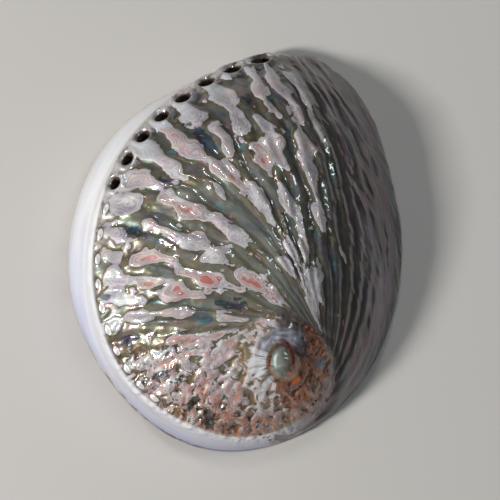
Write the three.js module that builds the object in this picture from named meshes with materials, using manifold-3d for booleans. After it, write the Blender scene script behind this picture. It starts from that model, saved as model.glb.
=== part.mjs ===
// Abalone shell: one grown piece, lying on its rim with the outside up.
// Millimetres, +Z up, +Y towards the growing front. The origin is the middle of the bounding box, on the
// plane that the rim rests on.
//
// The wall is made of two domed sheets, the outside and the inside, each a disc of square cells whose rings
// run out to the rim. A strip joins them: the columellar shelf on the flank, a thin lip on the growing side,
// and the flat land that the shell rests on. The closed tremata are then joined on along the keel, and the
// open ones are cut through it.
import * as THREE from "three";
import { mergeVertices } from "three/addons/utils/BufferGeometryUtils.js";
import Module from "manifold-3d";

// The plan of the rim: its mean radius about the crown, and the cosine and sine terms of its harmonics.
const RIM_RADIUS = 69.1;
const RIM_HARMONICS = [[-6.6, 0.6], [-6.3, 2.6], [-1.7, -0.2], [0.5, -1.6], [0.6, -0.3], [0.2, 0.6]];
const CROWN = new THREE.Vector2(8, 4);
const CROWN_HEIGHT = 41.5;

// The dome's section runs from a sloping lip to an upright flank, round the plan.
const LIP_DIRECTION = THREE.MathUtils.degToRad(8);
const LIP_SECTION = { fullness: 2.2, power: 0.85 };
const FLANK_SECTION = { fullness: 2.75, power: 0.5 };
const EDGE_HEIGHT = 1.1; // where the outside turns under to the resting land

const WALL = 3.0;
const INSIDE_REACH = 0.93; // how far down the dome's quarter turn the inside follows the outside
const COVE_START = 0.72; // where the inside starts to draw in to the shelf
const SHELF_WIDTH = { lip: 3.6, flank: 10.5 };
const SHELF_HEIGHT = { lip: 0.8, flank: 2.2 };
const SHELF_ROUND = 0.9;
const LAND_START = 1.1;
const LAND_WIDTH = { lip: 1.1, flank: 3.0 };

// Everything spiral is given about the apex. Radii are listed at even steps of angle that wind inwards.
const APEX = new THREE.Vector2(18.3, -42.3);
const STEP = 30;
const KEEL_START = 60;
const KEEL_RADII = [
  124, 121.7, 100.9, 78.9, 58.5, 39.5, 27.2, 20, 16.9, 16, 15.2, 12.9,
  10, 7.4, 6.7, 6.4, 6.3, 6.9, 7.1, 6.3, 5.6,
];
const SUTURE_START = -90;
const SUTURE_RADII = [25, 22.4, 20.5, 19.5, 17.8, 14.6, 16.2, 16.6, 15.3, 14, 13.8, 12.2, 10.2, 9];
// The growth ridges, newest first: the angles at which each leaves the suture and meets the keel, and its
// bend, which is 1 for an even spiral and less for one that swings round early.
const RIDGE_ROOTS = [-105, -72, -33, -5, 19, 28, 36, 46, 55, 71, 89, 131, 162, 185, 214, 246, 279, 310];
const RIDGE_ENDS = [78, 83, 86, 89, 94, 101, 120, 133, 147, 162, 175, 188, 202, 220, 237, 262, 290, 318];
const RIDGE_BENDS = [
  0.5, 0.5, 0.6, 0.6, 0.55, 0.4, 0.5, 0.5, 0.37, 0.27, 0.24, 0.3, 0.27, 0.45, 0.5, 0.5, 0.5, 0.5,
];
const RIDGE_HEIGHT = 0.6;

const KEEL_CREST = { height: 1.6, width: 4.5 };
const BAND_GROOVE = { depth: 0.7, width: 4, offset: 8 };
const SPIRE = { height: 3.2, width: 13 };
const SUTURE_GROOVE = { depth: 1.3, width: 2.6, fade: 170 };

// The tremata run back just inside the keel from the growing front, as angles about the apex. They lean from
// the wall's normal towards straight up.
const TREMATA = { first: 94, step: 5.35, stretch: 0.03, open: 8, closed: 10, inset: 1.5, upright: 2.1 };
const OPEN_SIZE = { front: [7.2, 5.6], back: [4.8, 4.0] };
const OPEN_SIDES = 12;
const CUT_DEPTH = 18;
const CLOSED_SIZE = [4.6, 1.6, 3.2];

const OUTER_RINGS = 24; // cells from the crown to the rim
const INNER_RINGS = OUTER_RINGS / 2;

const { clamp, lerp, smoothstep, degToRad, radToDeg, euclideanModulo } = THREE.MathUtils;

// 0 on the growing lip, 1 on the flank.
const flank = (turn) => 0.5 - 0.5 * Math.cos(turn - LIP_DIRECTION);
const between = (span, turn) => lerp(span.lip, span.flank, flank(turn));

function rimRadius(turn) {
  return RIM_HARMONICS.reduce(
    (sum, [c, s], i) => sum + c * Math.cos((i + 1) * turn) + s * Math.sin((i + 1) * turn),
    RIM_RADIUS,
  );
}

// A point of the plan, at a turn about the crown and a distance from it.
function fromCrown(turn, radius, height) {
  return new THREE.Vector3(CROWN.x + radius * Math.cos(turn), CROWN.y + radius * Math.sin(turn), height);
}

// The smooth dome: share runs from 0 at the crown to 1 at the rim.
function domePoint(share, turn) {
  const f = flank(turn);
  const fullness = lerp(LIP_SECTION.fullness, FLANK_SECTION.fullness, f);
  const power = lerp(LIP_SECTION.power, FLANK_SECTION.power, f);
  const quarter = (share * Math.PI) / 2;
  const out = Math.pow(Math.max(Math.sin(quarter), 0), 2 / fullness);
  const up = Math.pow(Math.max(Math.cos(quarter), 0), 2 * power);
  return fromCrown(turn, out * rimRadius(turn), EDGE_HEIGHT + (CROWN_HEIGHT - EDGE_HEIGHT) * up);
}

function domeNormal(share, turn) {
  const step = 0.004;
  const at = Math.min(Math.max(share, step), 1 - step);
  const outwards = domePoint(at + step, turn).sub(domePoint(at - step, turn));
  const around = domePoint(at, turn + step).sub(domePoint(at, turn - step));
  return outwards.cross(around).normalize();
}

// Reads a list on a smooth curve through its values.
function along(values, place) {
  const at = clamp(place, 0, values.length - 1.001);
  const i = Math.floor(at);
  const t = at - i;
  const [a, b, c, d] = [i - 1, i, i + 1, i + 2].map((k) => values[clamp(k, 0, values.length - 1)]);
  return b + 0.5 * t * (c - a + t * (2 * a - 5 * b + 4 * c - d + t * (3 * (b - c) + d - a)));
}

const keelRadius = (angle) => along(KEEL_RADII, (angle - KEEL_START) / STEP);
const sutureRadius = (angle) => along(SUTURE_RADII, (angle - SUTURE_START) / STEP);

// Where a ridge is when it has swept round to an angle: its share of the way out, and its radius.
function onRidge(ridge, angle) {
  const root = along(RIDGE_ROOTS, ridge);
  const end = along(RIDGE_ENDS, ridge);
  const share = clamp((angle - root) / (end - root), 0, 1) ** (1 / along(RIDGE_BENDS, ridge));
  const inner = Math.log(sutureRadius(root));
  const outer = Math.log(keelRadius(end));
  return { share, radius: Math.exp(lerp(inner, outer, share)) };
}

// The ridge wave at a point between the suture and the keel: the ridge through it is found by halving.
function ridgeWave(radius, angle) {
  let low = 0;
  let high = RIDGE_ROOTS.length - 1;
  for (let i = 0; i < 20; i++) {
    const middle = (low + high) / 2;
    if (along(RIDGE_ROOTS, middle) < angle && onRidge(middle, angle).radius > radius) low = middle;
    else high = middle;
  }
  const inside = 1 - smoothstep(radius, keelRadius(angle), keelRadius(angle) + 5);
  return inside * smoothstep(onRidge(low, angle).share, 0, 0.25) * Math.cos(2 * Math.PI * low);
}

// Height over the smooth dome: the ridges, the keel's crest with the groove outside it, the raised spire,
// and the suture that winds round it.
function reliefAt(point) {
  const x = point.x - APEX.x;
  const y = point.y - APEX.y;
  const radius = Math.hypot(x, y);
  const angle = KEEL_START + euclideanModulo(radToDeg(Math.atan2(y, x)) - KEEL_START, 360);
  const bell = (offset, width) => Math.exp(-((offset / width) ** 2));
  const offKeel = radius - keelRadius(angle);
  const grown = smoothstep(radius, 20, 40);
  const crest = grown * KEEL_CREST.height * bell(offKeel, KEEL_CREST.width);
  const band = grown * BAND_GROOVE.depth * bell(offKeel - BAND_GROOVE.offset, BAND_GROOVE.width);
  const spire = SPIRE.height * bell(radius, SPIRE.width);
  const root = angle > 270 ? angle - 360 : angle;
  const offSuture = radius - sutureRadius(root);
  const worn = 1 - smoothstep(root, SUTURE_GROOVE.fade, SUTURE_GROOVE.fade + 90);
  const suture = worn * SUTURE_GROOVE.depth * bell(offSuture, SUTURE_GROOVE.width);
  const ridges = offSuture > 0 ? RIDGE_HEIGHT * ridgeWave(radius, root) : 0;
  return ridges + crest - band + spire - suture;
}

function outsidePoint(share, turn) {
  const point = domePoint(share, turn);
  const fade = 1 - smoothstep(share, 0.9, 1);
  return point.addScaledVector(domeNormal(share, turn), reliefAt(point) * fade);
}

function insidePoint(share, turn) {
  const at = share * INSIDE_REACH;
  const point = domePoint(at, turn).addScaledVector(domeNormal(at, turn), -WALL);
  const radius = Math.hypot(point.x - CROWN.x, point.y - CROWN.y);
  const shelfEdge = rimRadius(turn) - between(SHELF_WIDTH, turn) - SHELF_ROUND;
  const shelfTop = between(SHELF_HEIGHT, turn) + SHELF_ROUND;
  const draw = smoothstep(share, COVE_START, 1);
  const height = lerp(point.z, shelfTop, smoothstep(share, COVE_START, 1) ** 2);
  return fromCrown(turn, lerp(radius, Math.min(radius, shelfEdge), draw), height);
}

// The strip from the inside's last ring under the rim to the outside's last ring, as rings of points.
function rimSteps(turn) {
  const rim = rimRadius(turn);
  const width = between(SHELF_WIDTH, turn);
  const land = LAND_START + between(LAND_WIDTH, turn);
  return [
    fromCrown(turn, rim - width + SHELF_ROUND, between(SHELF_HEIGHT, turn)),
    fromCrown(turn, rim - land, 0),
    fromCrown(turn, rim - LAND_START, 0),
    fromCrown(turn, rim - 0.3, 0.4),
  ];
}

// A square of cells wrapped on to a disc: each ring of the square becomes a ring of the disc.
function discPlace(column, row, rings) {
  if (column === 0 && row === 0) return [0, 0];
  const wide = Math.abs(column) > Math.abs(row);
  const ring = wide ? column : row;
  const turn = wide ? (Math.PI / 4) * (row / column) : Math.PI / 2 - (Math.PI / 4) * (column / row);
  return [Math.abs(ring) / rings, ring < 0 ? turn + Math.PI : turn];
}

// Walks once round the edge of the square, counterclockwise.
function edgeCells(rings) {
  const cells = [];
  for (let i = -rings; i < rings; i++) cells.push([rings, i]);
  for (let i = rings; i > -rings; i--) cells.push([i, rings]);
  for (let i = rings; i > -rings; i--) cells.push([-rings, i]);
  for (let i = -rings; i < rings; i++) cells.push([i, -rings]);
  return cells;
}

function shellWall() {
  const points = [];
  const faces = [];
  const quad = (a, b, c, d) => faces.push(a, b, c, a, c, d);

  // Adds a whole sheet and returns its edge loop.
  const sheet = (pointAt, rings, upwards) => {
    const first = points.length;
    const index = (column, row) => first + (row + rings) * (2 * rings + 1) + column + rings;
    for (let row = -rings; row <= rings; row++) {
      for (let column = -rings; column <= rings; column++) {
        points.push(pointAt(...discPlace(column, row, rings)));
      }
    }
    for (let row = -rings; row < rings; row++) {
      for (let column = -rings; column < rings; column++) {
        const near = [index(column, row), index(column + 1, row)];
        const far = [index(column + 1, row + 1), index(column, row + 1)];
        const cell = [...near, ...far];
        // Each cell is split along the way that points at the crown.
        if (column < 0 !== row < 0) cell.push(cell.shift());
        quad(...(upwards ? cell : [cell[0], cell[3], cell[2], cell[1]]));
      }
    }
    return edgeCells(rings).map(([column, row]) => index(column, row));
  };

  const outsideEdge = sheet(outsidePoint, OUTER_RINGS, true);
  const insideEdge = sheet(insidePoint, INNER_RINGS, false);
  const turns = edgeCells(OUTER_RINGS).map(([column, row]) => discPlace(column, row, OUTER_RINGS)[1]);
  const steps = turns.map(rimSteps);
  const loops = steps[0].map((_, step) => steps.map((column) => points.push(column[step]) - 1));
  loops.push(outsideEdge);
  for (let i = 0; i + 1 < loops.length; i++) {
    for (let j = 0; j < turns.length; j++) {
      const next = (j + 1) % turns.length;
      quad(loops[i][j], loops[i][next], loops[i + 1][next], loops[i + 1][j]);
    }
  }
  // The inside has half as many cells round its edge, so each of its cells meets two of the strip's.
  insideEdge.forEach((here, j) => {
    const there = insideEdge[(j + 1) % insideEdge.length];
    const [a, b, c] = [0, 1, 2].map((k) => loops[0][(2 * j + k) % turns.length]);
    faces.push(here, b, a, here, there, b, there, c, b);
  });

  return new THREE.BufferGeometry().setFromPoints(points).setIndex(faces);
}

// The dome's share and turn at a point of the plan, found by halving.
function shareAt(x, y) {
  const turn = Math.atan2(y - CROWN.y, x - CROWN.x);
  const radius = Math.hypot(x - CROWN.x, y - CROWN.y);
  let low = 0;
  let high = 1;
  for (let i = 0; i < 30; i++) {
    const middle = (low + high) / 2;
    const point = domePoint(middle, turn);
    if (Math.hypot(point.x - CROWN.x, point.y - CROWN.y) < radius) low = middle;
    else high = middle;
  }
  return [low, turn];
}

// Moves a geometry on to a trema's place: its X along the keel and its Y out through the wall.
function placeOnKeel(geometry, number) {
  const degrees = TREMATA.first + TREMATA.step * number + TREMATA.stretch * number * number;
  const keelPlace = (angle) => {
    const radius = keelRadius(angle) - TREMATA.inset;
    const turn = degToRad(angle);
    return shareAt(APEX.x + radius * Math.cos(turn), APEX.y + radius * Math.sin(turn));
  };
  const centre = outsidePoint(...keelPlace(degrees));
  const axis = domeNormal(...keelPlace(degrees));
  axis.addScaledVector(new THREE.Vector3(0, 0, 1), TREMATA.upright).normalize();
  const along = outsidePoint(...keelPlace(degrees + 1)).sub(centre);
  along.addScaledVector(axis, -along.dot(axis)).normalize();
  const across = new THREE.Vector3().crossVectors(along, axis);
  return geometry.applyMatrix4(new THREE.Matrix4().makeBasis(along, axis, across).setPosition(centre));
}

function openTrema(number) {
  const aged = number / (TREMATA.open - 1);
  const [length, breadth] = OPEN_SIZE.front.map((size, i) => lerp(size, OPEN_SIZE.back[i], aged));
  const post = new THREE.CylinderGeometry(0.5, 0.5, CUT_DEPTH, OPEN_SIDES);
  return placeOnKeel(post.scale(length, 1, breadth), number);
}

function closedTrema(number) {
  const knob = new THREE.SphereGeometry(0.5, 8, 6);
  return placeOnKeel(knob.scale(...CLOSED_SIZE), TREMATA.open + number);
}

const wasm = await Module();
wasm.setup();

function solid(geometry) {
  const bare = new THREE.BufferGeometry().setAttribute("position", geometry.getAttribute("position"));
  bare.setIndex(geometry.getIndex());
  const merged = mergeVertices(bare, 1e-4);
  return new wasm.Manifold(
    new wasm.Mesh({
      numProp: 3,
      vertProperties: new Float32Array(merged.getAttribute("position").array),
      triVerts: new Uint32Array(merged.getIndex().array),
    }),
  );
}

let wall = solid(shellWall());
for (let number = 0; number < TREMATA.closed; number++) {
  wall = wall.add(solid(closedTrema(number)));
}
for (let number = 0; number < TREMATA.open; number++) {
  wall = wall.subtract(solid(openTrema(number)));
}

const cut = wall.getMesh();
const geometry = new THREE.BufferGeometry();
geometry.setAttribute("position", new THREE.BufferAttribute(new Float32Array(cut.vertProperties), 3));
geometry.setIndex(new THREE.BufferAttribute(new Uint32Array(cut.triVerts), 1));
geometry.computeBoundingBox();
const middle = geometry.boundingBox.getCenter(new THREE.Vector3());
geometry.translate(-middle.x, -middle.y, 0);
geometry.computeVertexNormals();

const nacre = new THREE.MeshStandardMaterial({ color: 0xa9a396, roughness: 0.22, metalness: 0.15 });
const shell = new THREE.Mesh(geometry, nacre);
shell.name = "shell";

const abalone = new THREE.Group();
abalone.add(shell);

export default abalone;
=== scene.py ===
"""Looks for the abalone shell: one polished shell wall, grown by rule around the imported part.

Lengths are in millimetres until the finished mesh is scaled to metres. The shell is worked out by Geometry
Nodes from a flat pattern of cells. Two small guides say how it grew: a spiral sheet that knows how far along
its growth each place is, and a row of points for the pores.
"""

import math
from functools import partial

import bpy
import numpy as np
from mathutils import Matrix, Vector


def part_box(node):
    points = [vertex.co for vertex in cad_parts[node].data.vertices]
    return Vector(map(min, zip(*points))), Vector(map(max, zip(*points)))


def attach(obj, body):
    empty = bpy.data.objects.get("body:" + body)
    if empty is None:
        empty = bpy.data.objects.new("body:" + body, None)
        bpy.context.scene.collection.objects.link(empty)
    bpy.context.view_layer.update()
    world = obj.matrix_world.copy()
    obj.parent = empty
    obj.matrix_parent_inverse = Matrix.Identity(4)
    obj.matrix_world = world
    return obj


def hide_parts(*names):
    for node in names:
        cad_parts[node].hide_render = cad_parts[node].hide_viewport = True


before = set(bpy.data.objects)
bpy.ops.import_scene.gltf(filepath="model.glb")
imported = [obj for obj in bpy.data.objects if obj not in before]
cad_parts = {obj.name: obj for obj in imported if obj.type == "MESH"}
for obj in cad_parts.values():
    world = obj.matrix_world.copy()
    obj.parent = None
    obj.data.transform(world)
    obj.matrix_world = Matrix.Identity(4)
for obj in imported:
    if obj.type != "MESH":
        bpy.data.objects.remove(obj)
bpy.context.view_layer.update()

MM = 0.001

# ---------------------------------------------------------------- the shell's sizes, in millimetres

# The outline round the crown: its mean radius, then the cosine and sine parts of one to six waves a turn.
RIM_RADIUS = 69.1
RIM_HARMONICS = [(-6.6, 0.6), (-6.3, 2.6), (-1.7, -0.2), (0.5, -1.6), (0.6, -0.3), (0.2, 0.6)]
CROWN = (8.0, 4.0)
CROWN_HEIGHT = 41.5
EDGE_HEIGHT = 1.1
LIP_DIRECTION = math.radians(8)
# Each pair is a value on the growing lip and one on the flank opposite.
FULLNESS = (2.2, 2.75)   # of the dome's section
POWER = (0.85, 0.5)      # of its fall: the lower, the steeper it ends at the rim
WALL = 3.0
INSIDE_REACH = 0.93      # of the way from the crown to the rim, before the wall's thickness is taken in
COVE_START = 0.72        # of the inside's own reach, where it starts to draw in to the shelf
SHELF_WIDTH = (3.6, 10.5)
SHELF_HEIGHT = (0.8, 2.2)
SHELF_ROUND = 0.9
LAND_START = 1.1
LAND_WIDTH = (1.1, 3.0)
BAND_WIDTH = 24.0        # from the keel out to past the rim

# The keel and the suture are spirals round the apex: their radii at even steps of angle, wound inwards.
APEX = np.array([18.3, -42.3])
STEP = 30.0
KEEL_START = 60.0
KEEL_RADII = [124, 121.7, 100.9, 78.9, 58.5, 39.5, 27.2, 20, 16.9, 16, 15.2, 12.9, 10, 7.4, 6.7, 6.4, 6.3,
              6.9, 7.1, 6.3, 5.6, 5.3, 4.7, 4.2, 3.8, 3.4]
SUTURE_START = -90.0
SUTURE_RADII = [25, 22.4, 20.5, 19.5, 17.8, 14.6, 16.2, 16.6, 15.3, 14, 13.8, 12.2, 10.2, 9, 8.4, 8, 7.4,
                6.2, 4.6, 3.6, 3.2, 3, 3, 3, 2.6, 2.2, 1.8, 1.5, 1.2, 1]
# Growth ridges, newest first: where each leaves the suture and meets the keel, its bend, and how many of the
# small waves lie before it.
RIDGES = [(-140, 74, 0.5, -5), (-105, 78, 0.5, -2.5), (-72, 83, 0.5, 0), (-33, 86, 0.6, 2.2),
          (-5, 89, 0.6, 4.4), (19, 94, 0.55, 6.6), (28, 101, 0.4, 9), (36, 120, 0.5, 12.5),
          (46, 133, 0.5, 14.8), (55, 147, 0.37, 17.2), (71, 162, 0.27, 19.6), (89, 175, 0.24, 21.8),
          (131, 188, 0.3, 24), (162, 202, 0.27, 26), (185, 220, 0.45, 28), (214, 237, 0.5, 30),
          (246, 262, 0.5, 32), (279, 290, 0.5, 34), (310, 318, 0.5, 36)]
RIDGES += [(310 + 30 * i, 318 + 30 * i, 0.5, 36 + 2 * i) for i in range(1, 15)]

# Round the keel, newest first. An open pore's size runs from the newest one's to the oldest one's.
PORES = {"first": 94.0, "step": 5.35, "stretch": 0.03, "open": 8, "closed": 10, "inset": 1.5,
         "upright": 2.1, "lengths": (7.2, 4.8), "breadths": (5.6, 4.0), "closed_size": (4.2, 2.1)}
POST_DEPTH = 18.0
POST_SIDES = 48

# The muscle's scar on the inside, and the trough round the eye of the spire.
SCAR = {"middle": (12.0, 4.0), "half": (16.0, 21.0)}
EYE_RING = 5.6

# Cells of the outside and inside sheets from the crown to the rim, and of the growth sheet.
OUTER_RINGS = 128
INNER_RINGS = OUTER_RINGS // 2
MOMENTS_A_RIDGE = 40
COLUMNS_TO_KEEL = 121
COLUMNS_ON_BAND = 15
RIM_SAMPLES = 1440
SHARP_FROM = math.radians(50)

# Pale islands where the polish has reached an older layer, newest first: growth, millimetres along the ridge
# from the suture, half the width in growth, half the length in millimetres, and how red the core is.
ISLANDS = [
    (1.5, 108, 0.5, 14, 0), (3.6, 92, 0.3, 16, 0.1), (5.3, 105, 0.3, 8, 0), (5.2, 88, 0.25, 7, 0),
    (6.5, 102, 0.35, 13, 0.3), (6.2, 90, 0.3, 6, 0.6), (6.5, 76, 0.4, 10, 0.3), (6.9, 62, 0.35, 9, 0.2),
    (6.9, 48, 0.35, 7, 0.1), (7.8, 101, 0.42, 13, 0.3), (8.6, 83, 0.35, 5, 0), (8.5, 71, 0.5, 8, 0.6),
    (9.1, 52, 0.35, 7, 0.2), (8.8, 37, 0.5, 9, 0.3), (8.8, 20, 1.0, 9, 0), (9.6, 68, 0.45, 7, 1),
    (9.7, 99, 0.33, 9, 0.1), (9.6, 87, 0.4, 7, 0), (10.7, 32, 0.5, 5, 0), (10.8, 80, 0.28, 9, 0.3),
    (11.0, 97, 0.35, 7, 0), (11.2, 52, 0.55, 9, 0), (11.5, 64, 0.4, 8, 1), (10.8, 12, 1.4, 12, 0),
    (12.1, 88, 0.35, 14, 0.6), (12.1, 72, 0.3, 7, 0.8), (12.4, 27, 0.6, 5, 0), (12.9, 64, 0.18, 5, 0),
    (13.3, 87, 0.32, 13, 0.1), (14.2, 70, 0.13, 4, 0), (14.5, 85, 0.4, 6, 0.4), (14.6, 64, 0.32, 14, 0.8),
    (14.2, 45, 0.45, 9, 0.1), (15.4, 84, 0.38, 7, 0), (15.9, 52, 0.5, 5, 0), (16.1, 64, 0.2, 8, 0.7),
    (16.2, 42, 0.3, 5, 0), (16.2, 24, 0.7, 11, 1), (16.7, 78, 0.3, 6, 0), (17.4, 61, 0.28, 9, 0.8),
    (17.5, 40, 0.38, 13, 1), (17.6, 75, 0.33, 5, 0.4), (18.5, 70, 0.42, 5, 0), (18.4, 56, 0.2, 7, 0.8),
    (18.8, 45, 0.4, 8, 1), (19.4, 64, 0.36, 9, 0), (20.4, 56, 0.25, 6, 0), (20.0, 46, 0.25, 9, 0.5),
    (20.6, 68, 0.33, 5, 0), (20.2, 22, 0.5, 5, 0.5), (22.0, 38, 0.38, 5, 0.8), (22.4, 27, 0.5, 9, 0.6),
    (22.8, 45, 0.22, 8, 0), (23.5, 33, 0.35, 9, 0.7), (24.7, 38, 0.3, 6, 0), (25.8, 21, 0.4, 4, 0.9),
    (27.0, 17, 0.5, 4, 0.6), (28.5, 11, 0.7, 5, 0.8), (24.0, 12, 0.9, 6, 0.3)]
# Dark places, in the same measures: how dark, and how blue.
DARK_SPOTS = [
    (-0.6, 92, 0.45, 12, 1, 0.1), (5.0, 72, 0.3, 15, 0.7, 0), (6.9, 84, 0.4, 8, 0.5, 0.2),
    (8.9, 94, 0.45, 9, 0.6, 0.6), (9.9, 77, 0.35, 8, 0.5, 0.3), (11.4, 84, 0.28, 9, 1.3, 0.7),
    (14.0, 78, 0.15, 5, 0.8, 0.8), (16.45, 72, 0.22, 6, 1.2, 1), (18.9, 27, 0.3, 5, 1.3, 0.5),
    (18.2, 24, 0.35, 5, 0.8, 0.3), (19.3, 71, 0.2, 3, 1, 0.4), (21.4, 58, 0.33, 6, 1, 1),
    (23.9, 39, 0.2, 9, 0.9, 0.4), (24.6, 30, 0.2, 3, 1, 0), (26.3, 27, 0.3, 5, 1, 0),
    (27.6, 24, 0.5, 5, 1, 0.2), (29.5, 21, 0.6, 5, 1, 0.2), (43.5, 4, 1.5, 4, 0.9, 0.3)]


# ---------------------------------------------------------------- sums that work on numbers and on nodes

class Field:
    """A socket of a node tree that sums can be made of."""

    def __init__(self, socket):
        self.socket = socket
        self.tree = socket.id_data

    def __neg__(self):
        return maths("MULTIPLY", self, -1.0)


def give_field(sign, operation):
    """Lets a field stand on either side of a sign."""
    setattr(Field, f"__{sign}__", lambda field, other: maths(operation, field, other))
    setattr(Field, f"__r{sign}__", lambda field, other: maths(operation, other, field))


for sign, operation in (("add", "ADD"), ("sub", "SUBTRACT"), ("mul", "MULTIPLY"), ("truediv", "DIVIDE"),
                        ("pow", "POWER")):
    give_field(sign, operation)

NUMPY = {"ADD": np.add, "SUBTRACT": np.subtract, "MULTIPLY": np.multiply, "DIVIDE": np.divide,
         "POWER": np.power, "SINE": np.sin, "COSINE": np.cos, "MAXIMUM": np.maximum,
         "MINIMUM": np.minimum, "ABSOLUTE": np.abs, "EXPONENT": np.exp, "SQRT": np.sqrt}


def feed(tree, socket, value):
    """Links a field to a socket, or sets the socket to a number, vector or colour."""
    if isinstance(value, Field):
        tree.links.new(value.socket, socket)
    elif value is not None:
        socket.default_value = value


def add_node(tree, kind, inputs=None, **settings):
    """A new node with its settings made and its inputs fed."""
    node = tree.nodes.new(kind)
    for name, value in settings.items():
        setattr(node, name, value)
    for name, value in (inputs or {}).items():
        feed(tree, node.inputs[name], value)
    return node


def maths(operation, *values):
    """Works a sum out on numbers, or adds the node for it where a value is a field."""
    trees = [v.tree for v in values if isinstance(v, Field)]
    if not trees:
        return NUMPY[operation](*values)
    node = add_node(trees[0], "ShaderNodeMath", dict(enumerate(values)), operation=operation)
    return Field(node.outputs[0])


sin, cos, sqrt, exp, absolute, greatest, least = (
    partial(maths, operation) for operation in
    ("SINE", "COSINE", "SQRT", "EXPONENT", "ABSOLUTE", "MAXIMUM", "MINIMUM"))


def mix(a, b, share):
    return a + (b - a) * share


def bell(offset, width):
    """1 where the offset is 0, falling away smoothly on both sides."""
    return exp(-(offset / width) * (offset / width))


def distance(a, b):
    return sqrt(a * a + b * b)


def smooth(value, low, high):
    """0 below low, 1 above high, and a smooth step between."""
    if isinstance(value, Field):
        node = add_node(value.tree, "ShaderNodeMapRange", {"Value": value, "From Min": low, "From Max": high},
                        interpolation_type="SMOOTHSTEP")
        return Field(node.outputs[0])
    t = np.clip((value - low) / (high - low), 0, 1)
    return t * t * (3 - 2 * t)


def fade(value, low, high):
    """1 below low, 0 above high, and a smooth step between."""
    return 1.0 - smooth(value, low, high)


def vector(x, y, z):
    """Three values as one vector. At least one of them is a field."""
    tree = next(v.tree for v in (x, y, z) if isinstance(v, Field))
    return Field(add_node(tree, "ShaderNodeCombineXYZ", {0: x, 1: y, 2: z}).outputs[0])


def split(v):
    node = add_node(v.tree, "ShaderNodeSeparateXYZ", {0: v})
    return [Field(out) for out in node.outputs]


def noise(place, detail=2.0, roughness=0.5, distortion=0.0):
    """Blender's own noise, about 0.5, whose lumps are about one unit of place apart."""
    node = add_node(place.tree, "ShaderNodeTexNoise",
                    {"Vector": place, "Scale": 1.0, "Detail": detail, "Roughness": roughness,
                     "Distortion": distortion})
    return Field(node.outputs[0])


# ---------------------------------------------------------------- the rule of the shell's form

def flank(turn):
    """0 on the growing lip, 1 on the flank."""
    return 0.5 - 0.5 * cos(turn - LIP_DIRECTION)


def between(span, turn):
    """A size that runs from the first value on the growing lip to the second on the flank."""
    return mix(span[0], span[1], flank(turn))


def rim_radius(turn):
    """The outline, measured from the crown."""
    total = RIM_RADIUS
    for i, (c, s) in enumerate(RIM_HARMONICS, 1):
        total = total + c * cos(turn * i) + s * sin(turn * i)
    return total


def dome(share, turn):
    """The smooth outside: share runs from 0 at the crown to 1 at the rim."""
    quarter = share * (math.pi / 2)
    out = greatest(sin(quarter), 0.0) ** (2.0 / between(FULLNESS, turn)) * rim_radius(turn)
    up = greatest(cos(quarter), 0.0) ** (between(POWER, turn) * 2.0)
    return (CROWN[0] + out * cos(turn), CROWN[1] + out * sin(turn),
            EDGE_HEIGHT + (CROWN_HEIGHT - EDGE_HEIGHT) * up)


def from_spot(spot, x, y):
    """How far a place in plan is from a spot."""
    return distance(x - float(spot[0]), y - float(spot[1]))


def along(values, place):
    """Reads a list on a smooth curve through its values."""
    values = np.asarray(values, float)
    at = np.clip(place, 0, len(values) - 1.001)
    i = np.floor(at).astype(int)
    t = at - i
    a, b, c, d = (values[np.clip(i + k, 0, len(values) - 1)] for k in (-1, 0, 1, 2))
    return b + 0.5 * t * (c - a + t * (2 * a - 5 * b + 4 * c - d + t * (3 * (b - c) + d - a)))


def keel_radius(angle):
    return along(KEEL_RADII, (np.asarray(angle, float) - KEEL_START) / STEP)


def suture_radius(angle):
    return along(SUTURE_RADII, (np.asarray(angle, float) - SUTURE_START) / STEP)


# ---------------------------------------------------------------- guides and the flat pattern

def mesh_object(name, points, faces=(), attributes=None, vectors=None):
    """An object whose points carry these numbers and vectors."""
    mesh = bpy.data.meshes.new(name)
    mesh.from_pydata([tuple(map(float, p)) for p in points], [], [tuple(map(int, f)) for f in faces])
    for key, values in (attributes or {}).items():
        mesh.attributes.new(key, "FLOAT", "POINT").data.foreach_set("value", np.asarray(values, np.float32))
    for key, values in (vectors or {}).items():
        layer = mesh.attributes.new(key, "FLOAT_VECTOR", "POINT")
        layer.data.foreach_set("vector", np.asarray(values, np.float32).ravel())
    thing = bpy.data.objects.new(name, mesh)
    bpy.context.scene.collection.objects.link(thing)
    return thing


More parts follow.
